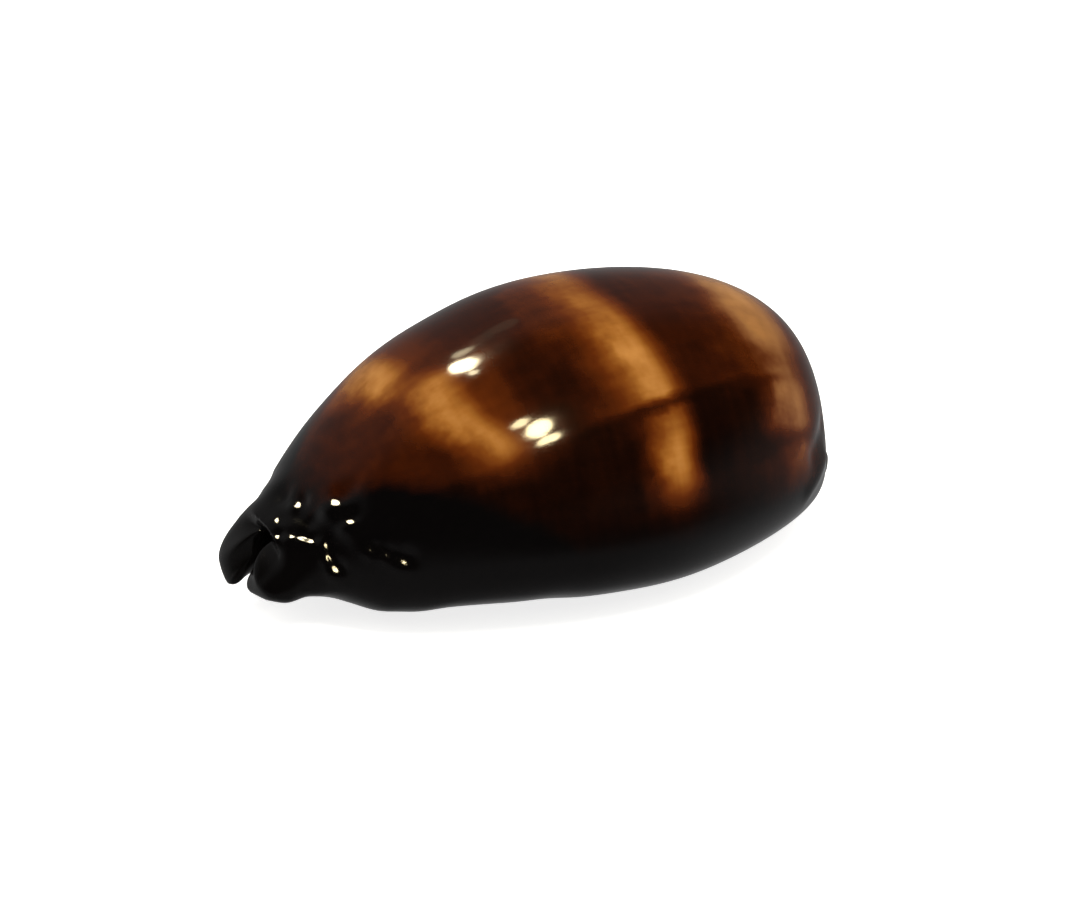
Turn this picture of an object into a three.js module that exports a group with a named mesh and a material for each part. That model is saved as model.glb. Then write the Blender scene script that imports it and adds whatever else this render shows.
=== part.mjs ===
// Cowrie shell, millimetres, +Z up, resting on its base at z = 0.
// The narrow front end points to -X, the blunt back end to +X, the near flank faces -Y.
// The wall is one rolled sheet: its section runs from one lip of the slit round the shell to the
// other lip on the outside, and back round the cavity on the inside. Both ends close in rounded rims.
import * as THREE from 'three';
import { ParametricGeometry } from 'three/addons/geometries/ParametricGeometry.js';
import { mergeVertices } from 'three/addons/utils/BufferGeometryUtils.js';

// Overall size
const LENGTH = 70;
const WIDTH = 45.6;
const HEIGHT = 30.6;
const WIDEST_X = 5.4;

// Where the body ends and the spouts' straight part and rims begin, along X
const FRONT_FOOT_X = -30.4;
const FRONT_RIM_X = -30.8;
const BACK_FOOT_X = 33.7;
const BACK_RIM_X = 33.8;

// Roundness of the outlines: smaller powers are blunter
const PLAN_POWER_FRONT = 0.95;
const PLAN_POWER_BACK = 0.9;
const TOP_POWER_FRONT = 1.61;
const TOP_POWER_BACK = 0.57;
const DOME_POWER = 2;
const BASE_POWER = 2.22;

// Level of the widest line, and how far the base lifts towards each end
const MARGIN_Z = 10.5;
const FRONT_LIFT = 4.75;
const BACK_LIFT = 3.15;
const LIFT_POWER = 0.87;
const FLAT_CUT = 0.3;

// The low slab that carries the margins and runs out into the two spouts
const MARGIN_INSET = 1.5;
const SLAB_POWER = 2.6;
const SLAB_ROUNDNESS = 2.2;
const FRONT_HALF_WIDTH = 7.55;
const FRONT_MID_Z = 6.2;
const FRONT_TOP_Z = 11.5;
const BACK_HALF_WIDTH = 4.85;
const BACK_MID_Z = 7.35;
const BACK_TOP_Z = 8.85;
const SLAB_RISE = 4;
const UNION_POWER = 8;
const UNION_POWER_END = 3.3;

// Swelling of the front lips
const SWELL = 1.13;
const SWELL_X = -32.2;
const SWELL_LENGTH = 2.6;
const SWELL_DROP = 1.27;

// Front rim: the far lip reaches furthest, the roof of the canal stays back
const ROOF_REACH = 0.85;
const NEAR_SHORT = 0.45;
const NEAR_HANG = 0.15;
const FAR_HANG = 1.55;
const BACK_ROOF_REACH = 0.3;
const BACK_NEAR_SHORT = 1.2;
const LOBE_LEVEL = 0.19;
const LOBE_FALL = 0.5;
const CREST_SHARE = 0.7;
const SEAM_INWARD = 0.3;

// Slit along the base
const SLIT_Y = 0.6;
const SLIT_BACK_Y = -2.1;
const HALF_GAP = 1.45;
const FRONT_PINCH = 0.6;
const PINCH_START_X = -24;
const PINCH_LENGTH = 8;
const LIP_RUN = 2.5;
const LIP_HEIGHT = 2.2;
const LIP_THICKNESS = 6;

// Teeth on both lips
const TEETH = 18;
const TOOTH_DEPTH = 0.6;
const TEETH_START_X = -24;
const TEETH_END_X = 26.4;

// Hollow inside
const WALL_TOP = 2.2;
const WALL_SIDE = 5;
const CANAL_ROOF = 1.8;
const CANAL_FLARE = 0.7;
const HOLLOW_START_X = -27;
const HOLLOW_END_X = 30.7;
const HOLLOW_FADE_FRONT = 9;
const HOLLOW_FADE_BACK = 8;

// How finely the sheet is divided
const LIP_SEGMENTS = 3;
const BASE_SEGMENTS = 6;
const BACK_SEGMENTS = 7;
const RIM_SEGMENTS = 6;
const FRONT_ROWS = 6;
const BACK_ROWS = 7;
const STRAIGHT_ROWS = 1;

const TAU = 2 * Math.PI;
const slabShare = 1 - (2 * MARGIN_INSET) / WIDTH;
const domeHalfWidth = WIDTH / 2 / (1 + slabShare ** UNION_POWER) ** (1 / UNION_POWER);

const clamp = (value, low, high) => Math.min(Math.max(value, low), high);
const mix = (a, b, t) => a + (b - a) * t;
const smooth = (t) => {
  const share = clamp(t, 0, 1);
  return share * share * (3 - 2 * share);
};
const union = (a, b, power) => (a ** power + b ** power) ** (1 / power);
const superellipse = (angle, a, b, power) =>
  (Math.abs(Math.cos(angle) / a) ** power + Math.abs(Math.sin(angle) / b) ** power) ** (-1 / power);

// The measures of the cross-section at one station along X
function sectionAt(x) {
  const front = x < WIDEST_X;
  const span = front ? WIDEST_X - FRONT_FOOT_X : BACK_FOOT_X - WIDEST_X;
  const along = clamp(Math.abs(x - WIDEST_X) / span, 0, 1);
  const fullness = Math.sqrt(1 - along * along);
  const endZ = front ? FRONT_MID_Z : BACK_MID_Z;
  const endHalfWidth = front ? FRONT_HALF_WIDTH : BACK_HALF_WIDTH;
  const endTop = front ? FRONT_TOP_Z : BACK_TOP_Z;
  const swell = SWELL * Math.exp(-(((x - SWELL_X) / SWELL_LENGTH) ** 2));
  const lift = (front ? FRONT_LIFT : BACK_LIFT) * (1 - fullness) ** LIFT_POWER - SWELL_DROP * swell;
  const midZ = mix(endZ, MARGIN_Z, fullness);
  const bend = front ? 0 : (SLIT_BACK_Y - SLIT_Y) * along ** 3;
  const slabWidening = (slabShare * domeHalfWidth - endHalfWidth) * fullness ** SLAB_POWER;
  const slabHalf = endHalfWidth + swell + slabWidening;
  const planPower = front ? PLAN_POWER_FRONT : PLAN_POWER_BACK;
  const domeHalf = Math.max(domeHalfWidth * fullness ** planPower, 0.001);
  const topPower = front ? TOP_POWER_FRONT : TOP_POWER_BACK;
  const domeRise = (HEIGHT + FLAT_CUT - midZ) * fullness ** topPower;
  const power = mix(UNION_POWER_END, UNION_POWER, fullness);
  return {
    midZ,
    midY: (SLIT_Y + bend) * (1 - fullness),
    slitY: SLIT_Y + bend,
    domeHalf,
    domeRise: Math.max(domeRise, 0.001),
    slabHalf,
    slabRise: mix(endTop - endZ, SLAB_RISE, fullness),
    wide: union(domeHalf, slabHalf, power),
    depth: Math.max(midZ - lift, 0.5),
    power,
    roofZ: endTop - CANAL_ROOF,
  };
}

// Distance from the section's middle to its outside, in the direction of an angle
function outerRadius(angle, section) {
  if (Math.sin(angle) < -1e-9) return superellipse(angle, section.wide, section.depth, BASE_POWER);
  return union(
    superellipse(angle, section.domeHalf, section.domeRise, DOME_POWER),
    superellipse(angle, section.slabHalf, section.slabRise, SLAB_ROUNDNESS),
    section.power,
  );
}

// Height of the base, measured from the section's middle, at a sideways offset
function baseHeight(offset, section) {
  const share = Math.min(Math.abs(offset) / section.wide, 0.999);
  return -section.depth * (1 - share ** BASE_POWER) ** (1 / BASE_POWER);
}

// Depth of the grooves between the teeth, staggered between the two lips
function grooveDepth(x, side) {
  if (x < TEETH_START_X || x > TEETH_END_X) return 0;
  const turns = (TEETH * (x - TEETH_START_X)) / (TEETH_END_X - TEETH_START_X);
  const wave = 0.5 - 0.5 * side * Math.cos(TAU * turns);
  return TOOTH_DEPTH * wave * smooth(Math.min(turns, TEETH - turns));
}

// Angle after a number of quarters: near lip (0), near margin (1), top (2), far margin (3), far lip (4)
function angleAt(quarters, nearLip, farLip) {
  if (quarters < 1) return mix(nearLip, Math.PI, quarters);
  if (quarters > 3) return (quarters - 3) * farLip;
  return ((3 - quarters) * Math.PI) / 2;
}

// Outside and inside of the wall: lip is the share from the slit's edge (0) to the end of the lip (1),
// quarters is how far round the shell the point is, as in angleAt
function wallAt(x, lip, quarters) {
  const section = sectionAt(x);
  const side = quarters < 2 ? -1 : 1;
  const pinch = clamp((PINCH_START_X - x) / PINCH_LENGTH, 0, 1);
  const gap = HALF_GAP - FRONT_PINCH * pinch;
  const nearOffset = section.slitY - gap - LIP_RUN - section.midY;
  const farOffset = section.slitY + gap + LIP_RUN - section.midY;
  const nearBase = baseHeight(nearOffset, section);
  const farBase = baseHeight(farOffset, section);
  const opening = smooth((x - HOLLOW_START_X) / HOLLOW_FADE_FRONT);
  const closing = smooth((HOLLOW_END_X - x) / HOLLOW_FADE_BACK);
  const hollow = opening * closing;
  const throatRise = LIP_HEIGHT + (LIP_THICKNESS - LIP_HEIGHT) * mix(0.35, 1, hollow);
  const throatZ = section.midZ + (nearBase + farBase) / 2 + throatRise;
  if (lip < 1) {
    const turn = (Math.PI / 2) * lip;
    const groove = grooveDepth(x, side) * (1 - lip);
    const baseZ = section.midZ + (side < 0 ? nearBase : farBase);
    const crestZ = baseZ + LIP_HEIGHT;
    const edgeY = section.slitY + side * (gap + groove);
    return [
      edgeY + side * LIP_RUN * (1 - Math.cos(turn)),
      crestZ - LIP_HEIGHT * Math.sin(turn) + groove * Math.sin(turn),
      edgeY,
      mix(crestZ, throatZ, lip),
    ];
  }
  const angle = angleAt(quarters, Math.atan2(nearBase, nearOffset) + TAU, Math.atan2(farBase, farOffset));
  const radius = outerRadius(angle, section);

  const fan = Math.PI * (1 - quarters / 4);
  const fanSide = Math.sign(Math.cos(fan)) * Math.sqrt(Math.abs(Math.cos(fan)));
  const flare = CANAL_FLARE * pinch * Math.sin(fan) ** 2 * fanSide;
  const canalY = section.slitY + gap * Math.cos(fan) + flare;
  const canalZ = throatZ + Math.max(section.roofZ - throatZ, 1) * Math.sin(fan);

  const nearThroat = Math.atan2(throatZ - section.midZ, section.slitY - gap - section.midY);
  const farThroat = Math.atan2(throatZ - section.midZ, section.slitY + gap - section.midY);
  const inwardStart = nearThroat < 0 ? nearThroat + TAU : nearThroat;
  const inwardEnd = farThroat > Math.PI / 2 ? farThroat - TAU : farThroat;
  const inward = angleAt(quarters, inwardStart, inwardEnd);
  const wall = mix(WALL_SIDE, WALL_TOP, clamp(Math.sin(inward), 0, 1));
  const throatRadius = Math.hypot(throatZ - section.midZ, gap);
  const open = Math.max(outerRadius(inward, section) - wall, 1);
  const reach = mix(open, throatRadius, clamp(-Math.sin(inward), 0, 1) ** 6);
  return [
    section.midY + radius * Math.cos(angle),
    section.midZ + radius * Math.sin(angle),
    mix(canalY, section.midY + reach * Math.cos(inward), hollow),
    mix(canalZ, section.midZ + reach * Math.sin(inward), hollow),
  ];
}

// Range of heights of the outside at each rim, used to shape the lobes
function heightRange(x) {
  const crest = wallAt(x, 0, 0)[1];
  let low = crest;
  let high = crest;
  for (let step = 0; step <= 60; step += 1) {
    const z = wallAt(x, 1, step / 15)[1];
    low = Math.min(low, z);
    high = Math.max(high, z);
  }
  return [low, high];
}
const rimHeights = { front: heightRange(FRONT_RIM_X), back: heightRange(BACK_RIM_X) };

// One point of the sheet; turn goes from 0 on the body to a quarter turn on the rim's seam
function sheetPoint(x, turn, lip, quarters, inside) {
  const [outY, outZ, inY, inZ] = wallAt(x, lip, quarters);
  if (turn === 0) return [x, inside ? inY : outY, inside ? inZ : outZ];
  const front = x < WIDEST_X;
  const [low, high] = front ? rimHeights.front : rimHeights.back;
  const fall = smooth(((outZ - low) / (high - low) - LOBE_LEVEL) / LOBE_FALL);
  const nearness = smooth((2.48 - quarters) / 0.96);
  const full = front
    ? FRONT_RIM_X + LENGTH / 2 - NEAR_SHORT * nearness
    : LENGTH / 2 - BACK_RIM_X - BACK_NEAR_SHORT * nearness;
  const roof = front ? ROOF_REACH : BACK_ROOF_REACH;
  const crest = mix(CREST_SHARE, 1, Math.sin((Math.PI / 2) * lip));
  const reach = (roof + Math.max(full - roof, 0.1) * (1 - fall)) * crest;
  const hang = front ? mix(FAR_HANG, NEAR_HANG, nearness) * (1 - fall) * Math.sin(turn) ** 2 : 0;
  const seamY = (outY + inY) / 2;
  const seamZ = mix(outZ, inZ, SEAM_INWARD);
  const sideY = inside ? inY : outY;
  const sideZ = inside ? inZ : outZ;
  return [
    x + (front ? -1 : 1) * reach * Math.sin(turn),
    mix(seamY, sideY, Math.cos(turn)),
    mix(seamZ, sideZ, Math.cos(turn)) - hang,
  ];
}

// Rows of the sheet from the front seam to the back seam
const rows = [];
for (let step = RIM_SEGMENTS; step > 0; step -= 1) {
  rows.push({ x: FRONT_RIM_X, turn: ((Math.PI / 2) * step) / RIM_SEGMENTS });
}
for (let step = 0; step < STRAIGHT_ROWS; step += 1) {
  rows.push({ x: mix(FRONT_RIM_X, FRONT_FOOT_X, step / STRAIGHT_ROWS), turn: 0 });
}
const fullnessAt = (x, foot) => Math.sqrt(1 - ((x - WIDEST_X) / (foot - WIDEST_X)) ** 2);
const stationAt = (share, edge, foot) => {
  const fullness = fullnessAt(edge, foot) * share ** 1.3;
  return WIDEST_X + (foot - WIDEST_X) * Math.sqrt(1 - fullness * fullness);
};
for (let step = 0; step < FRONT_ROWS; step += 1) {
  rows.push({ x: stationAt(step / FRONT_ROWS, TEETH_START_X, FRONT_FOOT_X), turn: 0 });
}
for (let step = 0; step <= 2 * TEETH; step += 1) {
  rows.push({ x: mix(TEETH_START_X, TEETH_END_X, step / (2 * TEETH)), turn: 0 });
}
for (let step = BACK_ROWS - 1; step >= 0; step -= 1) {
  rows.push({ x: stationAt(step / BACK_ROWS, TEETH_END_X, BACK_FOOT_X), turn: 0 });
}
for (let step = 0; step <= RIM_SEGMENTS; step += 1) {
  rows.push({ x: BACK_RIM_X, turn: ((Math.PI / 2) * step) / RIM_SEGMENTS });
}

// Columns of the sheet: out from the near lip, round the shell, to the far lip, and back inside
const half = [];
const addSteps = (count, from, size) => {
  for (let step = 0; step < count; step += 1) half.push({ lip: 1, quarters: from + (size * step) / count });
};
for (let step = 0; step < LIP_SEGMENTS; step += 1) half.push({ lip: step / LIP_SEGMENTS, quarters: 0 });
addSteps(BASE_SEGMENTS, 0, 1);
addSteps(2 * BACK_SEGMENTS, 1, 2);
addSteps(BASE_SEGMENTS, 3, 1);
for (let step = LIP_SEGMENTS; step >= 0; step -= 1) half.push({ lip: step / LIP_SEGMENTS, quarters: 4 });
const outside = half.map((column) => ({ ...column, inside: false }));
const inside = half.slice(0, -1).reverse().map((column) => ({ ...column, inside: true }));
const columns = [...outside, ...inside];

function onSheet(across, along, target) {
  const row = rows[Math.round(clamp(1 - along, 0, 1) * (rows.length - 1))];
  const column = columns[Math.round(clamp(across, 0, 1) * (columns.length - 1))];
  const [x, y, z] = sheetPoint(row.x, row.turn, column.lip, column.quarters, column.inside);
  target.set(x, y, Math.max(z - FLAT_CUT, 0));
}

const grid = new ParametricGeometry(onSheet, columns.length - 1, rows.length - 1);
grid.deleteAttribute('normal');
grid.deleteAttribute('uv');
const wall = mergeVertices(grid, 0.001);
wall.computeVertexNormals();

const shellSurface = new THREE.MeshStandardMaterial({
  name: 'shell_glaze',
  color: '#4a2a12',
  roughness: 0.12,
  metalness: 0,
});
const shell = new THREE.Mesh(wall, shellSurface);
shell.name = 'cowrie_shell';

const part = new THREE.Group();
part.name = 'cowrie';
part.add(shell);

export default part;
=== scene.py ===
"""Dresses the cowrie shell: a finely divided surface, its banded gloss, and a plain studio."""

import bmesh
import bpy
import numpy as np
from mathutils import Matrix, Vector


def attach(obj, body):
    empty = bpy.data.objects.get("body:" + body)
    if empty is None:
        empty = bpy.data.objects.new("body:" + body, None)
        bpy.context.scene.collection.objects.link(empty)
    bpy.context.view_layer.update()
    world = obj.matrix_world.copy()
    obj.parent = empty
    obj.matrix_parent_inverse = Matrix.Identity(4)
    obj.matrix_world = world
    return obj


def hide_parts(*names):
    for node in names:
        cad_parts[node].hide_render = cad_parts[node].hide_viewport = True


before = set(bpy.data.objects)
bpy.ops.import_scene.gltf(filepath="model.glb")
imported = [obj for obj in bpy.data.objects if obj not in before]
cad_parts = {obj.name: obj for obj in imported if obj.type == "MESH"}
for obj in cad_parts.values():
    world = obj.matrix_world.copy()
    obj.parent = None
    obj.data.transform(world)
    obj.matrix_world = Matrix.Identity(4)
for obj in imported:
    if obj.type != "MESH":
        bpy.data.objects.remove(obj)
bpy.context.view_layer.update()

MM = 0.001

# Overall size of the shell, in millimetres, and where its body and its two spouts end along X
LENGTH = 70.0
WIDTH = 45.6
HEIGHT = 30.6
WIDEST_X = 5.4
FRONT_FOOT_X = -30.4
FRONT_RIM_X = -30.8
BACK_FOOT_X = 33.7
BACK_RIM_X = 33.8

# Roundness of the outlines: smaller powers are blunter
PLAN_POWER_FRONT = 0.95
PLAN_POWER_BACK = 0.9
TOP_POWER_FRONT = 1.61
TOP_POWER_BACK = 0.57
DOME_POWER = 2.0
BASE_POWER = 2.22

# Level of the widest line, and how far the base lifts towards each end
MARGIN_Z = 10.5
FRONT_LIFT = 4.75
BACK_LIFT = 3.15
LIFT_POWER = 0.87
FLAT_CUT = 0.3

# The low slab that carries the margins and runs out into the two spouts
MARGIN_INSET = 1.5
SLAB_POWER = 2.6
SLAB_ROUNDNESS = 2.2
SLAB_RISE = 4.0
FRONT_HALF_WIDTH = 7.55
FRONT_MID_Z = 6.2
FRONT_TOP_Z = 11.5
BACK_HALF_WIDTH = 4.85
BACK_MID_Z = 7.35
BACK_TOP_Z = 8.85
UNION_POWER = 8.0
UNION_POWER_END = 3.3

# Swelling of the front lips
SWELL = 1.13
SWELL_X = -32.2
SWELL_LENGTH = 2.6
SWELL_DROP = 1.27

# Rims: the far front lip reaches furthest, the roof of the canal stays back
ROOF_REACH = 0.85
NEAR_SHORT = 0.45
NEAR_HANG = 0.15
FAR_HANG = 1.55
BACK_ROOF_REACH = 0.3
BACK_NEAR_SHORT = 1.2
NEAR_END = 2.48
NEAR_FADE = 0.96
LOBE_LEVEL = 0.19
LOBE_FALL = 0.5
CREST_SHARE = 0.7
SEAM_INWARD = 0.3

# Slit along the base
SLIT_Y = 0.6
SLIT_BACK_Y = -2.1
HALF_GAP = 1.45
FRONT_PINCH = 0.6
PINCH_START_X = -24.0
PINCH_LENGTH = 8.0
LIP_RUN = 2.5
LIP_HEIGHT = 2.2
LIP_THICKNESS = 6.0
THROAT_SHARE = 0.35
THROAT_POWER = 6

# Teeth on both lips
TEETH = 18
TOOTH_DEPTH = 0.6
TEETH_START_X = -24.0
TEETH_END_X = 26.4

# Hollow inside
WALL_TOP = 2.2
WALL_SIDE = 5.0
CANAL_ROOF = 1.8
CANAL_FLARE = 0.7
HOLLOW_START_X = -27.0
HOLLOW_END_X = 30.7
HOLLOW_FADE_FRONT = 9.0
HOLLOW_FADE_BACK = 8.0

# Shares of the way from the outside (0) to the inside (1) that count as skin
OUTSIDE = 0.2
SKIN = 0.3
DEEP_SKIN = 0.45

# How finely the shell surface is divided
ROWS_PER_TOOTH = 7
END_ROWS = 40
END_CROWDING = 1.15
RIM_ROWS = 14
LIP_COLUMNS = 7
BASE_COLUMNS = 34
BACK_COLUMNS = 44
SAME_POINT = 1e-6

# Smoothing of the neck and the far front lip: X from and to, quarters from and to, how far in, rounds
NOSE_SMOOTHING = (
    (-32.6, -26.0, 0.1, 3.9, 0.2, 100),
    (-31.8, -28.5, 0.1, 3.9, 0.2, 100),
    (-33.6, -29.0, 0.1, 3.9, 0.2, 35),
    (-36.0, -31.6, 2.4, 4.1, 1.1, 25),
    (-33.6, -29.2, 3.2, 4.1, 0.6, 16),
    (-33.6, -29.2, -0.1, 0.8, 0.6, 8),
)

# In front of this X the inside changes level too, more and more over this length
TRIM_INSIDE_X = -29.5
TRIM_INSIDE_LENGTH = 2.5

# Changes of level: centre and length along X, centre and half width in quarters, lift
LEVEL_TRIMS = (
    (-31.8, 1.8, 0.62, 0.58, -0.4),
    (-27.3, 1.8, 0.62, 0.58, 0.3),
    (-23.2, 1.9, 0.62, 0.58, -0.55),
    (-20.0, 2.4, 0.62, 0.58, -0.5),
    (-12.0, 5.0, 0.62, 0.58, 0.3),
    (-6.5, 3.0, 0.62, 0.58, 0.3),
    (8.0, 7.0, 0.62, 0.58, -0.25),
    (-32.4, 2.8, 2.9, 0.9, 0.6),
    (-34.0, 1.6, 3.6, 0.7, -0.6),
    (-28.6, 1.8, 2.6, 0.9, 0.35),
    (-19.0, 3.0, 2.2, 0.8, -0.3),
    (-7.0, 4.0, 2.1, 0.8, -0.25),
)

# Dips and swellings of the callus: from, to, radius, height, in millimetres
CALLUS_RELIEF = (
    ((30.6, -10.8, 13.4), (27.4, -14.4, 12.2), 1.4, -0.3),
    ((30.3, -11.8, 10.0), (25.9, -15.7, 8.4), 1.0, 0.25),
    ((-28.9, 1.5, 12.4), (-28.4, -3.5, 12.3), 1.1, -0.3),
    ((-28.0, -4.5, 12.0), (-26.6, -8.6, 10.6), 1.2, -0.3),
    ((-24.3, -6.0, 15.6), (-24.0, -9.5, 13.6), 1.1, -0.3),
    ((-28.4, 2.6, 12.5), (-28.4, 2.7, 12.5), 1.2, -0.3),
)

# Facets of the callus that catch the lamps: place and radius
FACETS = (
    ((-30.5, -0.5, 11.2), 0.8),
    ((-31.4, -2.4, 10.2), 0.75),
    ((-30.4, -3.6, 10.6), 0.75),
    ((-29.6, -4.8, 10.7), 0.75),
    ((-29.0, -5.7, 10.6), 0.75),
    ((-27.9, -7.2, 10.5), 0.75),
    ((-28.1, -8.1, 9.5), 0.75),
    ((-27.7, -9.1, 8.4), 0.95),
    ((-28.3, -0.7, 12.8), 1.1),
    ((-26.0, -5.2, 14.2), 1.5),
    ((-25.6, -8.1, 13.2), 1.2),
    ((-24.7, -11.4, 11.2), 0.8),
    ((-23.5, -12.7, 10.9), 0.8),
    ((-22.2, -14.0, 10.4), 1.15),
)

# How the facets are made: the two ways they can face, how strongly, and the finer mesh round them
FACETS_END_X = -8.0
FACET_TILT = 1.07
FINER_END_X = -19.0
FINER_MARGIN = 0.4
FINER_ROUNDS = 6
FACET_WAYS = (Vector((-0.22, -0.682, 0.698)), Vector((-0.33, -0.184, 0.926)))

# Camera: the photograph's viewing angle, in degrees, and its distance and point of aim, in metres
AZIMUTH = -27.8
ELEVATION = 25.7
ROLL = 0.35
DISTANCE = 0.42
AIM = Vector((0.0011, 0.0, 0.0115))
FRAME_WIDTH = 0.1179
SENSOR = 36.0

# Studio: where the lamps stand, their colour in the light that they give and in the gloss
LAMP_DISTANCE = 0.6
LAMP_CENTRE = Vector((0.0, 0.0, 0.015))
LAMP_TINT = (1.0, 0.97, 0.9)
BEHIND_TINT = (1.0, 0.87, 0.56)
BEFORE_TINT = (1.0, 0.84, 0.48)
OVERHEAD = Vector((0.05, -0.15, 1.0))
OVERHEAD_SPREAD = (170.0, 170.0)
OVERHEAD_BRIGHTNESS = 1.25
BEHIND = Vector((-0.135, 0.554, 0.821))
BEFORE = Vector((-0.10, -0.49, 0.864))

# Small lamps: name, way to their group, offset and size in degrees, brightness, colour in the gloss
SPARKLES = (
    ("behind_main", BEHIND, (0.5, -1.3), (7.5, 10.0), 50.0, BEHIND_TINT),
    ("behind_small", BEHIND, (-0.4, -9.2), (2.6, 4.0), 25.0, BEHIND_TINT),
    ("behind_dim", BEHIND, (5.0, 7.4), (5.0, 4.5), 7.0, BEHIND_TINT),
    ("behind_faint", BEHIND, (12.0, 10.5), (7.0, 7.0), 0.22, BEHIND_TINT),
    ("before_main", BEFORE, (0.0, 1.0), (7.5, 10.5), 50.0, BEFORE_TINT),
    ("before_high", BEFORE, (-4.2, 8.8), (5.0, 5.0), 30.0, BEFORE_TINT),
    ("before_low", BEFORE, (2.0, -7.5), (7.0, 5.0), 38.0, BEFORE_TINT),
)

# Room: its brightness low down and high up, and what a side and the far end add to it
ROOM_LOW = 0.1
ROOM_HIGH = 0.015
ROOM_SIDE = 0.2
ROOM_FAR = 0.1

# Surface: depth of the fine growth lines in metres, and the wave that sets the tooth colours on the teeth
LINE_DEPTH = 1.6e-6
TOOTH_WAVE = 2.0 * np.pi * TEETH / (TEETH_END_X - TEETH_START_X)
TOOTH_TURN = -2.0 * np.pi * TEETH * TEETH_START_X / (TEETH_END_X - TEETH_START_X)
GLOSS_ROUGHNESS = 0.085
GLOSS_UNEVENNESS = 0.012
SHELL_IOR = 1.5

# Paleness that each of the three bands adds
BAND_ONE = 0.68
BAND_TWO = 0.66
BAND_THREE = 0.5

# Floor: half its size in metres, its paleness and its own faint light
FLOOR_HALF = 3.0
FLOOR_PALENESS = 0.9
FLOOR_ROUGHNESS = 0.9
FLOOR_SPECULAR = 0.1
FLOOR_GLOW = 0.8


def mix(a, b, t):
    return a + (b - a) * t


def smooth(t):
    t = np.clip(t, 0.0, 1.0)
    return t * t * (3.0 - 2.0 * t)


def union(a, b, power):
    return (a**power + b**power) ** (1.0 / power)


def superellipse(angle, a, b, power):
    return (np.abs(np.cos(angle) / a) ** power + np.abs(np.sin(angle) / b) ** power) ** (-1.0 / power)


def section_at(x):
    """The measures of the shell's cross-section at stations along X."""
    front = x < WIDEST_X
    span = np.where(front, WIDEST_X - FRONT_FOOT_X, BACK_FOOT_X - WIDEST_X)
    along = np.clip(np.abs(x - WIDEST_X) / span, 0.0, 1.0)
    fullness = np.sqrt(1.0 - along**2)
    end_z = np.where(front, FRONT_MID_Z, BACK_MID_Z)
    end_half = np.where(front, FRONT_HALF_WIDTH, BACK_HALF_WIDTH)
    end_top = np.where(front, FRONT_TOP_Z, BACK_TOP_Z)
    swell = SWELL * np.exp(-(((x - SWELL_X) / SWELL_LENGTH) ** 2))
    lift = np.where(front, FRONT_LIFT, BACK_LIFT) * (1.0 - fullness) ** LIFT_POWER - SWELL_DROP * swell
    mid_z = mix(end_z, MARGIN_Z, fullness)
    bend = np.where(front, 0.0, (SLIT_BACK_Y - SLIT_Y) * along**3)
    slab_share = 1.0 - 2.0 * MARGIN_INSET / WIDTH
    dome_half_width = WIDTH / 2.0 / (1.0 + slab_share**UNION_POWER) ** (1.0 / UNION_POWER)
    slab_half = end_half + swell + (slab_share * dome_half_width - end_half) * fullness**SLAB_POWER
    dome_half = dome_half_width * fullness ** np.where(front, PLAN_POWER_FRONT, PLAN_POWER_BACK)
    dome_rise = (HEIGHT + FLAT_CUT - mid_z) * fullness ** np.where(front, TOP_POWER_FRONT, TOP_POWER_BACK)
    dome_half = np.maximum(dome_half, 0.001)
    power = mix(UNION_POWER_END, UNION_POWER, fullness)
    return {
        "mid_z": mid_z,
        "mid_y": (SLIT_Y + bend) * (1.0 - fullness),
        "slit_y": SLIT_Y + bend,
        "dome_half": dome_half,
        "dome_rise": np.maximum(dome_rise, 0.001),
        "slab_half": slab_half,
        "slab_rise": mix(end_top - end_z, SLAB_RISE, fullness),
        "wide": union(dome_half, slab_half, power),
        "depth": np.maximum(mid_z - lift, 0.5),
        "power": power,
        "roof_z": end_top - CANAL_ROOF,
    }


def outer_radius(angle, section):
    """Distance from the section's middle to the outside, in the direction of an angle."""
    low = superellipse(angle, section["wide"], section["depth"], BASE_POWER)
    high = union(
        superellipse(angle, section["dome_half"], section["dome_rise"], DOME_POWER),
        superellipse(angle, section["slab_half"], section["slab_rise"], SLAB_ROUNDNESS),
        section["power"],
    )
    return np.where(np.sin(angle) < -1e-9, low, high)


def base_height(offset, section):
    """Height of the base, measured from the section's middle, at a sideways offset."""
    share = np.minimum(np.abs(offset) / section["wide"], 0.999)
    return -section["depth"] * (1.0 - share**BASE_POWER) ** (1.0 / BASE_POWER)


def angle_at(quarters, near_lip, far_lip):
    """Angle after a number of quarters: near lip 0, near margin 1, top 2, far margin 3, far lip 4."""
    back = (3.0 - quarters) * np.pi / 2.0
    beyond = np.where(quarters > 3.0, (quarters - 3.0) * far_lip, back)
    return np.where(quarters < 1.0, mix(near_lip, np.pi, quarters), beyond)


def groove_share(x, side):
    """How deep the groove between the teeth is at a station, from 0 on a tooth to 1 between two."""
    turns = TEETH * (x - TEETH_START_X) / (TEETH_END_X - TEETH_START_X)
    wave = 0.5 - 0.5 * side * np.cos(2.0 * np.pi * turns)
    return wave * smooth(np.minimum(turns, TEETH - turns))


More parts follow.
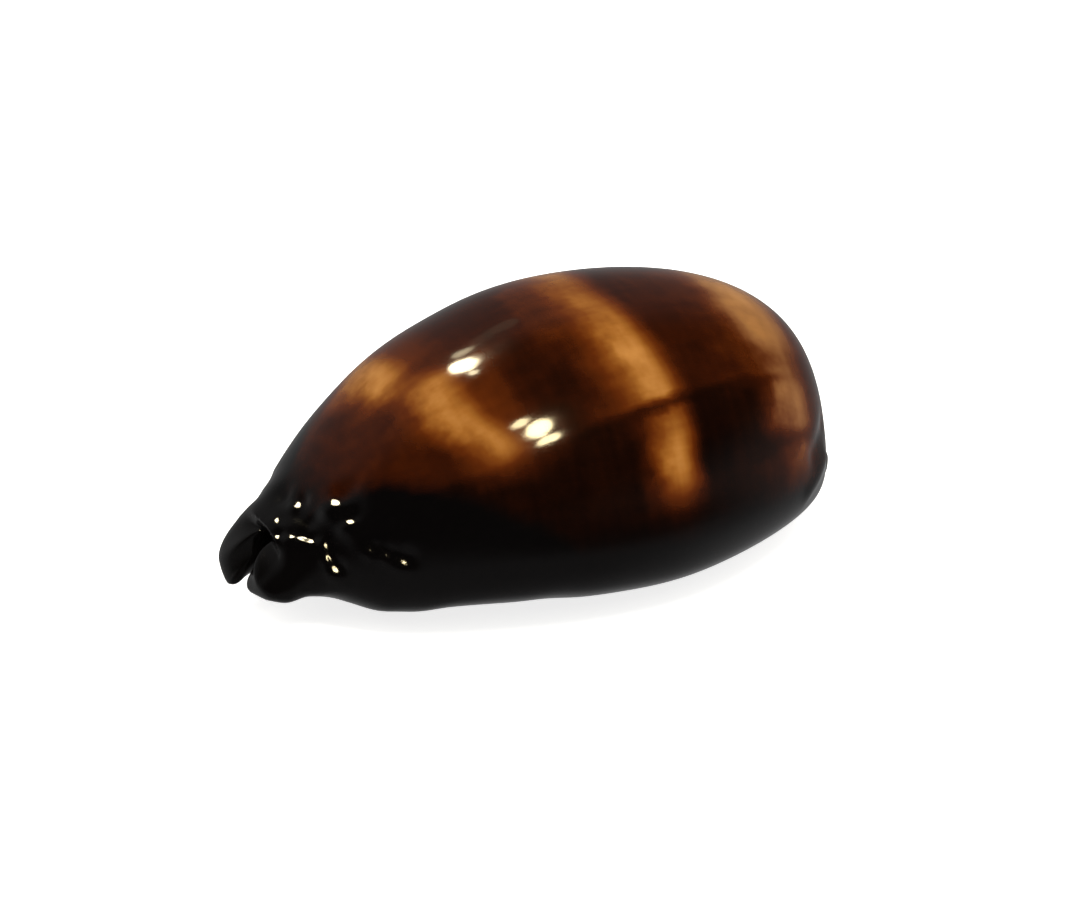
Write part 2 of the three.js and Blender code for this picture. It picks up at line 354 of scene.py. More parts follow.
def wall_at(x, lip, quarters):
    """Outside and inside of the wall at stations x, lip shares and quarters round the shell."""
    section = section_at(x)
    side = np.where(quarters < 2.0, -1.0, 1.0)
    pinch = np.clip((PINCH_START_X - x) / PINCH_LENGTH, 0.0, 1.0)
    gap = HALF_GAP - FRONT_PINCH * pinch
    near_offset = section["slit_y"] - gap - LIP_RUN - section["mid_y"]
    far_offset = section["slit_y"] + gap + LIP_RUN - section["mid_y"]
    near_base = base_height(near_offset, section)
    far_base = base_height(far_offset, section)
    opening = smooth((x - HOLLOW_START_X) / HOLLOW_FADE_FRONT)
    closing = smooth((HOLLOW_END_X - x) / HOLLOW_FADE_BACK)
    hollow = opening * closing
    throat_rise = LIP_HEIGHT + (LIP_THICKNESS - LIP_HEIGHT) * mix(THROAT_SHARE, 1.0, hollow)
    throat_z = section["mid_z"] + (near_base + far_base) / 2.0 + throat_rise

    turn = np.pi / 2.0 * lip
    groove = TOOTH_DEPTH * groove_share(x, side) * (1.0 - lip)
    crest_z = section["mid_z"] + np.where(side < 0.0, near_base, far_base) + LIP_HEIGHT
    edge_y = section["slit_y"] + side * (gap + groove)
    lip_y = edge_y + side * LIP_RUN * (1.0 - np.cos(turn))
    lip_z = crest_z - LIP_HEIGHT * np.sin(turn) + groove * np.sin(turn)

    near_lip = np.arctan2(near_base, near_offset) + 2.0 * np.pi
    angle = angle_at(quarters, near_lip, np.arctan2(far_base, far_offset))
    radius = outer_radius(angle, section)

    fan = np.pi * (1.0 - quarters / 4.0)
    fan_side = np.sign(np.cos(fan)) * np.sqrt(np.abs(np.cos(fan)))
    flare = CANAL_FLARE * pinch * np.sin(fan) ** 2 * fan_side
    canal_y = section["slit_y"] + gap * np.cos(fan) + flare
    canal_z = throat_z + np.maximum(section["roof_z"] - throat_z, 1.0) * np.sin(fan)

    near_throat = np.arctan2(throat_z - section["mid_z"], section["slit_y"] - gap - section["mid_y"])
    far_throat = np.arctan2(throat_z - section["mid_z"], section["slit_y"] + gap - section["mid_y"])
    near_throat = np.where(near_throat < 0.0, near_throat + 2.0 * np.pi, near_throat)
    far_throat = np.where(far_throat > np.pi / 2.0, far_throat - 2.0 * np.pi, far_throat)
    inward = angle_at(quarters, near_throat, far_throat)
    wall = mix(WALL_SIDE, WALL_TOP, np.clip(np.sin(inward), 0.0, 1.0))
    throat_radius = np.hypot(throat_z - section["mid_z"], gap)
    clear = np.maximum(outer_radius(inward, section) - wall, 1.0)
    reach = mix(clear, throat_radius, np.clip(-np.sin(inward), 0.0, 1.0) ** THROAT_POWER)
    hollow_y = section["mid_y"] + reach * np.cos(inward)
    hollow_z = section["mid_z"] + reach * np.sin(inward)

    on_lip = lip < 1.0
    outside_y = np.where(on_lip, lip_y, section["mid_y"] + radius * np.cos(angle))
    outside_z = np.where(on_lip, lip_z, section["mid_z"] + radius * np.sin(angle))
    inside_y = np.where(on_lip, edge_y, mix(canal_y, hollow_y, hollow))
    inside_z = np.where(on_lip, mix(crest_z, throat_z, lip), mix(canal_z, hollow_z, hollow))
    return outside_y, outside_z, inside_y, inside_z


def half_loop():
    """Lip shares and quarters of the columns from the near lip's edge to the far lip's edge."""
    rising = np.arange(LIP_COLUMNS) / LIP_COLUMNS
    near_base = np.arange(BASE_COLUMNS) / BASE_COLUMNS
    dome = 1.0 + np.arange(2 * BACK_COLUMNS) / BACK_COLUMNS
    far_base = 3.0 + np.arange(BASE_COLUMNS + 1) / BASE_COLUMNS
    middle = np.concatenate([near_base, dome, far_base])
    lip = np.concatenate([rising, np.ones(middle.size), rising[::-1]])
    quarters = np.concatenate([np.zeros(LIP_COLUMNS), middle, np.full(LIP_COLUMNS, 4.0)])
    return lip, quarters


def stations():
    """Stations along X, close together at the teeth and where the ends turn in."""

    def end_stations(edge, foot):
        fullness = np.sqrt(1.0 - ((edge - WIDEST_X) / (foot - WIDEST_X)) ** 2)
        share = fullness * (np.arange(END_ROWS) / END_ROWS) ** END_CROWDING
        return WIDEST_X + (foot - WIDEST_X) * np.sqrt(1.0 - share**2)

    front = end_stations(TEETH_START_X, FRONT_FOOT_X)
    teeth = np.linspace(TEETH_START_X, TEETH_END_X, TEETH * ROWS_PER_TOOTH + 1)
    back = end_stations(TEETH_END_X, BACK_FOOT_X)[::-1]
    return np.concatenate([[FRONT_RIM_X], front, teeth, back, [BACK_RIM_X]])


def rim(x, outside_y, outside_z, inside_y, inside_z, lip, quarters, turns):
    """Rows of a rounded end, from the straight part out to the seam where outside and inside meet."""
    front = x < WIDEST_X
    low, high = outside_z.min(), outside_z.max()
    fall = smooth(((outside_z - low) / (high - low) - LOBE_LEVEL) / LOBE_FALL)
    nearness = smooth((NEAR_END - quarters) / NEAR_FADE)
    if front:
        full = FRONT_RIM_X + LENGTH / 2.0 - NEAR_SHORT * nearness
        roof = ROOF_REACH
        hang = mix(FAR_HANG, NEAR_HANG, nearness) * (1.0 - fall)
    else:
        full = LENGTH / 2.0 - BACK_RIM_X - BACK_NEAR_SHORT * nearness
        roof = BACK_ROOF_REACH
        hang = 0.0 * fall
    crest = mix(CREST_SHARE, 1.0, np.sin(np.pi / 2.0 * lip))
    reach = (roof + np.maximum(full - roof, 0.1) * (1.0 - fall)) * crest
    seam_y = (outside_y + inside_y) / 2.0
    seam_z = mix(outside_z, inside_z, SEAM_INWARD)
    rows = []
    for turn in turns:
        level = np.cos(turn)
        drop = hang * np.sin(turn) ** 2
        station = x + (-1.0 if front else 1.0) * reach * np.sin(turn)
        outside = (mix(seam_y, outside_y, level), mix(seam_z, outside_z, level) - drop)
        inside = (mix(seam_y, inside_y, level), mix(seam_z, inside_z, level) - drop)
        rows.append((station, *outside, *inside))
    return rows


def shell_points():
    """Every point of the surface: rows from end to end, columns round the outside and back inside."""
    lip, quarters = half_loop()
    x, lips = np.meshgrid(stations(), lip, indexing="ij")
    sides = wall_at(x, lips, np.broadcast_to(quarters, x.shape))
    body = [(x[row], *(side[row] for side in sides)) for row in range(x.shape[0])]
    turns = np.linspace(0.0, np.pi / 2.0, RIM_ROWS + 1)[1:]
    first = rim(FRONT_RIM_X, *body[0][1:], lip, quarters, turns)[::-1]
    last = rim(BACK_RIM_X, *body[-1][1:], lip, quarters, turns)
    rows = []
    for station, outside_y, outside_z, inside_y, inside_z in first + body + last:
        loop_x = np.concatenate([station, station[-2::-1]])
        loop_y = np.concatenate([outside_y, inside_y[-2::-1]])
        loop_z = np.maximum(np.concatenate([outside_z, inside_z[-2::-1]]) - FLAT_CUT, 0.0)
        rows.append(np.stack([loop_x, loop_y, loop_z], -1))
    inside = np.concatenate([np.zeros(lip.size), 1.0 - 0.0 * lip[-2::-1]])
    lip_loop = np.concatenate([lip, lip[-2::-1]])
    quarter_loop = np.concatenate([quarters, quarters[-2::-1]])
    return np.array(rows), quarter_loop, inside, lip_loop


def from_line(point, start, end):
    """The way from the nearest point of a short line to a point."""
    along = end - start
    share = (point - start).dot(along) / max(along.length_squared, 1e-12)
    return point - start - along * min(max(share, 0.0), 1.0)


def even_out(bm, verts, rounds):
    """Smooths some of the vertices, several times over."""
    for _ in range(rounds):
        bmesh.ops.smooth_vert(
            bm, verts=verts, factor=0.5, use_axis_x=True, use_axis_y=True, use_axis_z=True
        )


def shape_callus(bm):
    """Pushes the skin of the callus in or out along short lines."""
    bm.normal_update()
    inward_layer = bm.verts.layers.float["inward"]
    skin = [vert for vert in bm.verts if vert[inward_layer] < DEEP_SKIN]
    pushes = dict.fromkeys(skin, 0.0)
    for start, end, radius, height in CALLUS_RELIEF:
        start, end = Vector(start) * MM, Vector(end) * MM
        for vert in skin:
            away = from_line(vert.co, start, end).length / MM
            if away < 3.0 * radius:
                pushes[vert] += height * np.exp(-((away / radius) ** 2))
    for vert, push in pushes.items():
        vert.co += vert.normal * push * MM


def divide_near_facets(bm):
    """Divides the skin finer round the facets, and evens it out."""
    inward_layer = bm.verts.layers.float["inward"]

    def near_facets():
        close = []
        for vert in bm.verts:
            if vert[inward_layer] > OUTSIDE or vert.co.x / MM > FINER_END_X:
                continue
            for place, radius in FACETS:
                if (vert.co / MM - Vector(place)).length < 2.0 * radius + FINER_MARGIN:
                    close.append(vert)
                    break
        return close

    chosen = set(near_facets())
    edges = [edge for edge in bm.edges if edge.verts[0] in chosen and edge.verts[1] in chosen]
    bmesh.ops.subdivide_edges(bm, edges=edges, cuts=1, use_grid_fill=True)
    even_out(bm, near_facets(), FINER_ROUNDS)


def turn_facets(bm):
    """Turns small patches of the callus until they face halfway between the camera and a lamp."""
    bm.normal_update()
    inward_layer = bm.verts.layers.float["inward"]
    skin = [vert for vert in bm.verts if vert[inward_layer] < SKIN and vert.co.x / MM < FACETS_END_X]
    moves = {}
    for place, radius in FACETS:
        middle = min(skin, key=lambda vert: (vert.co - Vector(place) * MM).length)
        facing = middle.normal.copy()
        way = max(FACET_WAYS, key=facing.dot).normalized()
        slope = (way / way.dot(facing) - facing) * FACET_TILT
        for vert in skin:
            offset = vert.co - middle.co
            away = offset.length / MM
            if away < 3.0 * radius:
                move = -facing * slope.dot(offset) * np.exp(-((away / radius) ** 2))
                moves[vert] = moves.get(vert, Vector((0.0, 0.0, 0.0))) + move
    for vert, move in moves.items():
        vert.co += move


def trim_levels(bm):
    """Lifts or lowers soft zones of the outside, to follow the photographed outline."""
    round_layer = bm.verts.layers.float["round"]
    inward_layer = bm.verts.layers.float["inward"]
    for vert in bm.verts:
        x = vert.co.x / MM
        near_rim = min(max((TRIM_INSIDE_X - x) / TRIM_INSIDE_LENGTH, 0.0), 1.0)
        keep = 1.0 if vert[inward_layer] < OUTSIDE else near_rim
        if keep == 0.0:
            continue
        for centre, length, middle, half, lift in LEVEL_TRIMS:
            away = min(abs(vert[round_layer] - middle) / half, 1.0)
            share = np.cos(np.pi / 2.0 * away) ** 2
            vert.co.z += MM * lift * keep * share * np.exp(-(((x - centre) / length) ** 2))
        vert.co.z = max(vert.co.z, 0.0)


def soften_nose(bm):
    """Smooths the neck where the body runs out into the two front lips."""
    round_layer = bm.verts.layers.float["round"]
    inward_layer = bm.verts.layers.float["inward"]
    for low, high, first, last, deepest, rounds in NOSE_SMOOTHING:
        band = []
        for vert in bm.verts:
            along = low < vert.co.x / MM < high
            if along and first < vert[round_layer] < last and vert[inward_layer] < deepest:
                band.append(vert)
        even_out(bm, band, rounds)


def shell_piece():
    """The shell as one closed mesh, with its place round the shell kept for the pattern."""
    points, quarters, inside, lip = shell_points()
    rows, columns = points.shape[:2]
    bm = bmesh.new()
    round_layer = bm.verts.layers.float.new("round")
    inward_layer = bm.verts.layers.float.new("inward")
    bmesh.ops.create_grid(bm, x_segments=columns - 1, y_segments=rows - 1, size=0.5)
    for vert in bm.verts:
        column = round((vert.co.x + 0.5) * (columns - 1))
        row = round((vert.co.y + 0.5) * (rows - 1))
        vert.co = Vector(points[row, column]) * MM
        vert[round_layer] = quarters[column]
        vert[inward_layer] = 0.5 + (0.5 if inside[column] else -0.5) * lip[column]
    bmesh.ops.remove_doubles(bm, verts=bm.verts, dist=SAME_POINT)

    # A corner with only two edges would leave two triangles lying on each other
    loose_corners = [vert for vert in bm.verts if len(vert.link_edges) == 2]
    bmesh.ops.dissolve_verts(bm, verts=loose_corners)
    bmesh.ops.recalc_face_normals(bm, faces=bm.faces)
    soften_nose(bm)
    trim_levels(bm)
    shape_callus(bm)
    divide_near_facets(bm)
    turn_facets(bm)
    mesh = bpy.data.meshes.new("shell_surface")
    bm.to_mesh(mesh)
    bm.free()
    mesh.shade_smooth()
    piece = bpy.data.objects.new("shell_surface", mesh)
    bpy.context.collection.objects.link(piece)
    return piece


class Nodes:
    """A short hand for wiring a material: each call adds one node and returns its output."""

    def __init__(self, tree):
        self.tree = tree

    def plug(self, socket, value):
        if isinstance(value, bpy.types.NodeSocket):
            self.tree.links.new(value, socket)
        else:
            socket.default_value = value

    def math(self, operation, *values):
        node = self.tree.nodes.new("ShaderNodeMath")
        node.operation = operation
        for socket, value in zip(node.inputs, values):
            self.plug(socket, value)
        return node.outputs[0]

    def ramp(self, value, low, high, start=0.0, end=1.0):
        """Rises smoothly from start at low to end at high."""
        node = self.tree.nodes.new("ShaderNodeMapRange")
        node.interpolation_type = "SMOOTHSTEP"
        for name, setting in (
            ("Value", value), ("From Min", low), ("From Max", high), ("To Min", start), ("To Max", end),
        ):
            self.plug(node.inputs[name], setting)
        return node.outputs[0]

    def band(self, value, centre, core, edge):
        """One within core of the centre, falling smoothly to nothing at edge from it."""
        offset = self.math("ABSOLUTE", self.math("SUBTRACT", value, centre))
        return self.ramp(offset, core, edge, 1.0, 0.0)

    def noise(self, vector, scale, detail=2.0, stretch=(1.0, 1.0, 1.0), offset=(0.0, 0.0, 0.0)):
        """Noise between about -1 and 1, in millimetres, stretched along the axes."""
        mapping = self.tree.nodes.new("ShaderNodeMapping")
        self.plug(mapping.inputs["Vector"], vector)
        mapping.inputs["Scale"].default_value = tuple(scale / MM / s for s in stretch)
        mapping.inputs["Location"].default_value = offset
        node = self.tree.nodes.new("ShaderNodeTexNoise")
        node.inputs["Scale"].default_value = 1.0
        node.inputs["Detail"].default_value = detail
        self.tree.links.new(mapping.outputs["Vector"], node.inputs["Vector"])
        return self.math("MULTIPLY_ADD", node.outputs[0], 4.0, -2.0)

    def attribute(self, name):
        node = self.tree.nodes.new("ShaderNodeAttribute")
        node.attribute_name = name
        return node.outputs["Fac"]

    def lay(self, mask, under, over):
        """Lays a colour over another where the mask is one."""
        node = self.tree.nodes.new("ShaderNodeMix")
        node.data_type = "RGBA"
        self.plug(node.inputs["Factor"], mask)
        for socket, value in ((node.inputs[6], under), (node.inputs[7], over)):
            self.plug(socket, (*value, 1.0) if isinstance(value, tuple) else value)
        return node.outputs[2]


def paint(red, green, blue):
    """A colour as seen on screen, from 0 to 255, turned into the linear values that a node takes."""
    seen = np.array([red, green, blue]) / 255.0
    level = np.where(seen <= 0.04045, seen / 12.92, ((seen + 0.055) / 1.055) ** 2.4)
    return tuple(float(value) for value in level)


# Colours from the darkest brown to the palest tan: paleness, then the colour
SHELL_TONES = (
    (0.0, paint(5, 1, 0)),
    (0.12, paint(20, 5, 1)),
    (0.26, paint(45, 14, 2)),
    (0.47, paint(80, 33, 5)),
    (0.65, paint(110, 58, 15)),
    (0.82, paint(140, 87, 33)),
    (1.0, paint(170, 115, 56)),
)
TAIL_TAN = paint(158, 122, 84)
CALLUS_BLACK = paint(4, 3, 3)
BASE_BROWN = paint(24, 11, 7)
TOOTH_BROWN = paint(66, 38, 24)
INNER_PALE = paint(168, 150, 158)


def shell_glaze():
    """Soft tan bands on glossy dark brown, black callus round it, pale inside."""
    material = bpy.data.materials.new("shell_glaze")
    material.use_nodes = True
    tree = material.node_tree
    nodes = Nodes(tree)
    place = tree.nodes.new("ShaderNodeTexCoord").outputs["Object"]
    split = tree.nodes.new("ShaderNodeSeparateXYZ")
    tree.links.new(place, split.inputs[0])
    cloud = nodes.noise(place, 0.1, 2.0)
    blotch = nodes.noise(place, 0.3, 3.0, offset=(7.0, 3.0, 1.0))
    streak = nodes.noise(place, 1.1, 3.0, stretch=(12.0, 1.0, 1.0))
    plain_x = nodes.math("MULTIPLY", split.outputs["X"], 1.0 / MM)
    x = nodes.math("MULTIPLY_ADD", cloud, 0.5, plain_x)
    x = nodes.math("MULTIPLY_ADD", blotch, 0.45, x)
    quarters = nodes.attribute("round")
    fold = nodes.math("ABSOLUTE", nodes.math("SUBTRACT", quarters, 2.0))
    wavy_fold = nodes.math("MULTIPLY_ADD", streak, 0.006, nodes.math("MULTIPLY_ADD", blotch, 0.012, fold))

    # The growth step along the flank, with a thin dark line on it
    step_at = nodes.math("MULTIPLY_ADD", x, -0.0035, 0.595)
    from_step = nodes.math("SUBTRACT", wavy_fold, step_at)
    sharp = nodes.math("SUBTRACT", nodes.ramp(from_step, -0.03, 0.03), 0.5)
    lower = nodes.math("MULTIPLY_ADD", sharp, nodes.ramp(x, 22.0, 30.0, 1.0, 0.0), 0.5)
    upper = nodes.math("SUBTRACT", 1.0, lower)
    step_line = nodes.math("MULTIPLY", nodes.band(from_step, 0.0, 0.0, 0.035), nodes.ramp(x, -8.0, 2.0))
    step_line = nodes.math("MULTIPLY", step_line, nodes.ramp(x, 20.0, 29.0, 1.0, 0.0))

    # Paleness between the bands
    pale = nodes.math("MULTIPLY_ADD", upper, 0.1, 0.14)
    dim_spot = nodes.math("MULTIPLY", nodes.band(x, -4.0, 2.0, 5.5), nodes.band(fold, 0.42, 0.06, 0.3))
    pale = nodes.math("MULTIPLY_ADD", dim_spot, -0.07, pale)
    pale = nodes.math("MULTIPLY", pale, nodes.ramp(fold, 0.58, 0.82, 1.0, 0.55))
    nose_glow = nodes.band(x, -20.0, 1.0, 7.0)
    nose_glow = nodes.math("MULTIPLY", nose_glow, nodes.ramp(fold, 0.35, 0.6, 1.0, 0.0))
    pale = nodes.math("MULTIPLY_ADD", nose_glow, 0.04, pale)
    back_glow = nodes.math("MULTIPLY", nodes.ramp(x, 12.0, 22.0), nodes.ramp(fold, 0.25, 0.55, 1.0, 0.35))
    back_glow = nodes.math("MULTIPLY", back_glow, nodes.ramp(x, 26.0, 32.0, 1.0, 0.2))
    pale = nodes.math("MULTIPLY_ADD", back_glow, 0.13, pale)
    top_glow = nodes.math("MULTIPLY", nodes.ramp(x, 8.0, 18.0), nodes.ramp(fold, 0.02, 0.25, 1.0, 0.0))
    pale = nodes.math("MULTIPLY_ADD", top_glow, 0.06, pale)
    dark_patch = nodes.math("MULTIPLY", nodes.band(x, 16.0, 4.5, 8.5), nodes.band(fold, 0.68, 0.08, 0.18))
    pale = nodes.math("MULTIPLY_ADD", dark_patch, -0.05, pale)
    smoke = nodes.noise(place, 0.55, 4.0, stretch=(2.5, 1.0, 1.0), offset=(3.0, 9.0, 5.0))
    pale = nodes.math("MULTIPLY_ADD", smoke, 0.035, pale)
    growth = nodes.noise(place, 0.8, 3.0, stretch=(1.0, 9.0, 9.0), offset=(2.0, 4.0, 8.0))
    pale = nodes.math("MULTIPLY_ADD", growth, 0.032, pale)

    # The three bands, each a steep side, a soft side, and its own run down the flank
    one_line = nodes.ramp(quarters, 1.82, 2.0, -13.9, -17.0)
    one_line = nodes.math("ADD", nodes.ramp(fold, 0.38, 0.62, 0.0, 3.0), one_line)
    one_at = nodes.math("SUBTRACT", x, one_line)
    one = nodes.math("MULTIPLY", nodes.ramp(one_at, -4.9, 0.2), nodes.ramp(one_at, 0.4, 3.6, 1.0, 0.28))
    one = nodes.math("MULTIPLY", one, nodes.ramp(one_at, 3.0, 9.0, 1.0, 0.0))
    one = nodes.math("MULTIPLY", one, nodes.ramp(wavy_fold, 0.52, 0.74, 1.0, 0.0))
    gap = nodes.math("MULTIPLY", nodes.band(quarters, 1.94, 0.02, 0.12), -0.45)
    one = nodes.math("MULTIPLY", one, nodes.math("ADD", gap, 1.0))
    low_gap = nodes.math("MULTIPLY", nodes.band(quarters, 1.74, 0.03, 0.13), -0.2)
    one = nodes.math("MULTIPLY", one, nodes.math("ADD", low_gap, 1.0))

    two_at = nodes.math("SUBTRACT", x, nodes.math("MULTIPLY_ADD", fold, 4.8, 3.9))
    two_steep = nodes.ramp(two_at, -4.6, 1.0, 0.0, 0.58)
    two_soft = nodes.ramp(two_at, -10.0, -0.5, 0.0, 0.42)
    two_high = nodes.math("ADD", two_steep, two_soft)
    two_high = nodes.math("MULTIPLY", two_high, nodes.ramp(two_at, 1.0, 4.9, 1.0, 0.0))
    two_low = nodes.math("MULTIPLY", nodes.ramp(x, 2.0, 7.4), nodes.ramp(x, 7.2, 11.2, 1.0, 0.0))
    two_low = nodes.math("MULTIPLY", two_low, nodes.ramp(wavy_fold, 0.77, 0.95, 1.2, 0.12))
    two_dim = nodes.math("MULTIPLY", nodes.band(fold, 0.58, 0.0, 0.13), -0.3)
    two_low = nodes.math("MULTIPLY", two_low, nodes.math("ADD", two_dim, 1.0))
    two = nodes.math("MULTIPLY_ADD", two_high, upper, nodes.math("MULTIPLY", two_low, lower))
    two = nodes.math("MULTIPLY", two, nodes.math("MULTIPLY_ADD", step_line, -0.6, 1.0))
    two = nodes.math("MULTIPLY", two, nodes.ramp(fold, 0.0, 0.4, 0.72, 1.05))

    three_at = nodes.math("SUBTRACT", x, nodes.math("MULTIPLY_ADD", lower, 0.6, 23.4))
    three = nodes.ramp(three_at, -6.6, 1.0)
    three = nodes.math("MULTIPLY", three, nodes.ramp(three_at, 1.0, 5.6, 1.0, 0.1))
    three = nodes.math("MULTIPLY", three, nodes.ramp(fold, 0.62, 0.95, 1.0, 0.5))
    three_gap = nodes.math("MULTIPLY", nodes.band(fold, 0.43, 0.02, 0.13), -0.4)
    three = nodes.math("MULTIPLY", three, nodes.math("ADD", three_gap, 1.0))
    three = nodes.math("MULTIPLY", three, nodes.ramp(fold, 0.0, 0.25, 0.8, 1.0))
    low_break = nodes.math("MULTIPLY", nodes.band(wavy_fold, 0.76, 0.0, 0.06), -0.4)
    three = nodes.math("MULTIPLY", three, nodes.math("ADD", low_break, 1.0))

    bands = nodes.math("MULTIPLY", one, BAND_ONE)
    bands = nodes.math("MULTIPLY_ADD", two, BAND_TWO, bands)
    bands = nodes.math("MULTIPLY_ADD", three, BAND_THREE, bands)
    pale = nodes.math("ADD", pale, bands)
    pale = nodes.math("MULTIPLY", pale, nodes.math("MULTIPLY_ADD", step_line, -0.25, 1.0))
    pale = nodes.math("MULTIPLY", pale, nodes.math("MULTIPLY_ADD", streak, 0.035, 1.0))
    pale = nodes.math("MULTIPLY", pale, nodes.math("MULTIPLY_ADD", blotch, 0.12, 1.0))
    pale = nodes.math("MULTIPLY", pale, nodes.math("MULTIPLY_ADD", cloud, 0.12, 1.0))

    tones = tree.nodes.new("ShaderNodeValToRGB")
    for element, (at, colour) in zip(tones.color_ramp.elements, (SHELL_TONES[0], SHELL_TONES[-1])):
        element.position = at
        element.color = (*colour, 1.0)
    for at, colour in SHELL_TONES[1:-1]:
        tones.color_ramp.elements.new(at).color = (*colour, 1.0)
    tree.links.new(pale, tones.inputs["Fac"])
    colour = tones.outputs["Color"]

    # The third band is a little greyer than the others
    veil = nodes.math("MULTIPLY", nodes.ramp(plain_x, 16.0, 22.0, 0.0, 0.3), nodes.ramp(pale, 0.35, 0.75))
    colour = nodes.lay(veil, colour, TAIL_TAN)

    # Black callus over the front end, and over the margins and base
    reach = nodes.math("POWER", nodes.math("MAXIMUM", nodes.math("SUBTRACT", fold, 0.38), 0.0), 1.2)
    front_edge = nodes.math("MULTIPLY_ADD", reach, 41.0, -26.3)
    front_edge = nodes.math("MULTIPLY_ADD", streak, 0.5, front_edge)
    front = nodes.ramp(nodes.math("SUBTRACT", x, front_edge), -1.8, 2.8, 1.0, 0.0)
    margin = nodes.ramp(wavy_fold, 0.84, 1.02)
    callus = nodes.math("MAXIMUM", front, margin)
    colour = nodes.lay(callus, colour, CALLUS_BLACK)
    base = nodes.math("MULTIPLY", nodes.ramp(fold, 1.3, 1.8), nodes.ramp(plain_x, -27.0, -18.0))
    colour = nodes.lay(base, colour, BASE_BROWN)
    tooth_turn = nodes.math("MULTIPLY_ADD", plain_x, TOOTH_WAVE, TOOTH_TURN)
    side = nodes.math("SIGN", nodes.math("SUBTRACT", quarters, 2.0))
    tooth = nodes.math("MULTIPLY", nodes.math("COSINE", tooth_turn), side)
    near_lip = nodes.math("MULTIPLY", nodes.ramp(fold, 1.86, 1.99), nodes.ramp(plain_x, -24.0, -21.0))
    near_lip = nodes.math("MULTIPLY", near_lip, nodes.ramp(plain_x, 24.0, 27.0, 1.0, 0.0))
    tooth = nodes.math("MULTIPLY", nodes.ramp(tooth, -0.4, 0.8), near_lip)
    colour = nodes.lay(tooth, colour, TOOTH_BROWN)
    inward = nodes.ramp(nodes.attribute("inward"), 0.55, 0.95)
    deep = nodes.math("MULTIPLY", nodes.ramp(x, -26.0, -18.0), nodes.ramp(x, 24.0, 31.0, 1.0, 0.0))
    colour = nodes.lay(nodes.math("MULTIPLY", inward, deep), colour, INNER_PALE)

    # Fine growth lines in the gloss
    relief = tree.nodes.new("ShaderNodeBump")
    relief.inputs["Strength"].default_value = 1.0
    relief.inputs["Distance"].default_value = LINE_DEPTH
    tree.links.new(nodes.math("MULTIPLY_ADD", blotch, 0.6, streak), relief.inputs["Height"])

    shader = tree.nodes["Principled BSDF"]
    tree.links.new(colour, shader.inputs["Base Color"])
    roughness = nodes.math("MULTIPLY_ADD", cloud, GLOSS_UNEVENNESS, GLOSS_ROUGHNESS)
    tree.links.new(roughness, shader.inputs["Roughness"])
    tree.links.new(relief.outputs["Normal"], shader.inputs["Normal"])
    shader.inputs["IOR"].default_value = SHELL_IOR
    return material


def floor():
    """A wide plain pale floor."""
    bm = bmesh.new()
    bmesh.ops.create_grid(bm, x_segments=1, y_segments=1, size=FLOOR_HALF)
    mesh = bpy.data.meshes.new("floor")
    bm.to_mesh(mesh)
    bm.free()
    obj = bpy.data.objects.new("floor", mesh)
    bpy.context.collection.objects.link(obj)
    material = bpy.data.materials.new("floor_white")
    material.use_nodes = True
    shader = material.node_tree.nodes["Principled BSDF"]
    shader.inputs["Base Color"].default_value = (FLOOR_PALENESS, FLOOR_PALENESS, FLOOR_PALENESS, 1.0)
    shader.inputs["Roughness"].default_value = FLOOR_ROUGHNESS
    shader.inputs["Specular IOR Level"].default_value = FLOOR_SPECULAR
    shader.inputs["Emission Color"].default_value = (1.0, 1.0, 1.0, 1.0)
    shader.inputs["Emission Strength"].default_value = FLOOR_GLOW
    mesh.materials.append(material)
    obj.visible_glossy = False


def lamp(name, middle, offset, spread, brightness, tint=LAMP_TINT):
    """A round lamp LAMP_DISTANCE away; offset and spread are angles across it, in degrees."""
    level = (Vector((1.0, 0.0, 0.0)) - middle * middle.x).normalized()
    other = middle.cross(level)
    shift, tilt = (np.tan(np.radians(angle)) for angle in offset)
    back = (middle + level * shift + other * tilt).normalized()
    across = (level - back * level.dot(back)).normalized()
    data = bpy.data.lights.new(name, "AREA")
    data.shape = "ELLIPSE"
    data.size, data.size_y = (LAMP_DISTANCE * np.radians(angle) for angle in spread)
    # An even lamp gives pi times its brightness for each bit of its elliptical face
    face = np.pi / 4.0 * data.size * data.size_y
    data.energy = brightness * np.pi * face
    data.color = tint
    obj = bpy.data.objects.new(name, data)
    turn = Matrix((across, back.cross(across), back)).transposed().to_4x4()
    obj.matrix_world = Matrix.Translation(back * LAMP_DISTANCE + LAMP_CENTRE) @ turn
    bpy.context.collection.objects.link(obj)
    return obj


def sparkle(name, middle, offset, spread, brightness, tint):
    """A lamp in two: a warm one that shows only in the gloss, and a paler one that lights the shell."""
    lamp(name, middle, offset, spread, brightness, tint).visible_diffuse = False
    lamp(name + "_light", middle, offset, spread, brightness).visible_glossy = False


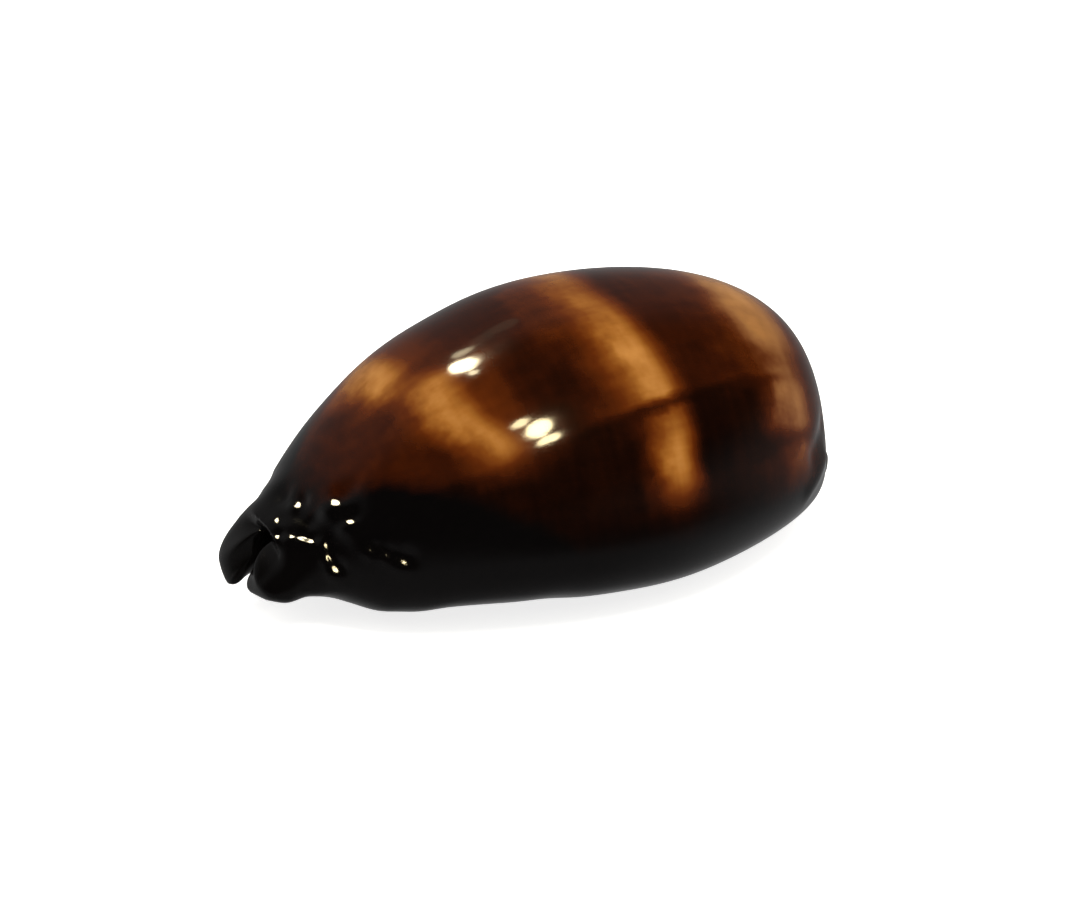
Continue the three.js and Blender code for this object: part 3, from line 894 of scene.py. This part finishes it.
def studio():
    """Two groups of small lamps, a wide soft one overhead, and a dim room that is paler low down."""
    world = bpy.data.worlds.new("studio")
    world.use_nodes = True
    tree = world.node_tree
    nodes = Nodes(tree)
    place = tree.nodes.new("ShaderNodeTexCoord").outputs["Generated"]
    split = tree.nodes.new("ShaderNodeSeparateXYZ")
    tree.links.new(place, split.inputs[0])
    height = nodes.ramp(split.outputs["Z"], -0.35, 0.35, ROOM_LOW, ROOM_HIGH)
    side = nodes.ramp(split.outputs["X"], 0.1, 0.9)
    side = nodes.math("MULTIPLY", side, nodes.ramp(split.outputs["Z"], -0.8, -0.2, 1.0, 0.3))
    side = nodes.math("MULTIPLY", side, nodes.ramp(split.outputs["Z"], 0.0, 0.4, 1.0, 0.0))
    glow = nodes.math("MULTIPLY_ADD", side, ROOM_SIDE, height)
    far = nodes.ramp(split.outputs["Y"], 0.15, 0.7)
    far = nodes.math("MULTIPLY", far, nodes.ramp(split.outputs["Z"], 0.75, 0.95, 1.0, 0.0))
    glow = nodes.math("MULTIPLY_ADD", far, ROOM_FAR, glow)
    background = tree.nodes["Background"]
    background.inputs["Color"].default_value = (1.0, 1.0, 1.0, 1.0)
    tree.links.new(glow, background.inputs["Strength"])
    bpy.context.scene.world = world
    bpy.context.scene.view_settings.view_transform = "Standard"
    soft = lamp("overhead_soft", OVERHEAD.normalized(), (0.0, 0.0), OVERHEAD_SPREAD, OVERHEAD_BRIGHTNESS)
    soft.visible_glossy = False
    for name, middle, offset, spread, brightness, tint in SPARKLES:
        sparkle(name, middle.normalized(), offset, spread, brightness, tint)


def camera():
    """The photograph's view."""
    azimuth, elevation, roll = (np.radians(value) for value in (AZIMUTH, ELEVATION, ROLL))
    level = np.cos(elevation)
    back = Vector((np.sin(azimuth) * level, -np.cos(azimuth) * level, np.sin(elevation)))
    right = Vector((np.cos(azimuth), np.sin(azimuth), 0.0))
    up = back.cross(right)
    turned_right = right * np.cos(roll) + up * np.sin(roll)
    turned_up = up * np.cos(roll) - right * np.sin(roll)
    data = bpy.data.cameras.new("camera")
    data.sensor_width = SENSOR
    data.lens = SENSOR * DISTANCE / FRAME_WIDTH
    data.clip_start = 0.01
    obj = bpy.data.objects.new("camera", data)
    turn = Matrix((turned_right, turned_up, back)).transposed().to_4x4()
    obj.matrix_world = Matrix.Translation(AIM + back * DISTANCE) @ turn
    bpy.context.collection.objects.link(obj)
    bpy.context.scene.camera = obj


shell = shell_piece()
shell.data.materials.append(shell_glaze())
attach(shell, "root")
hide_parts("cowrie_shell")

floor()
studio()
camera()
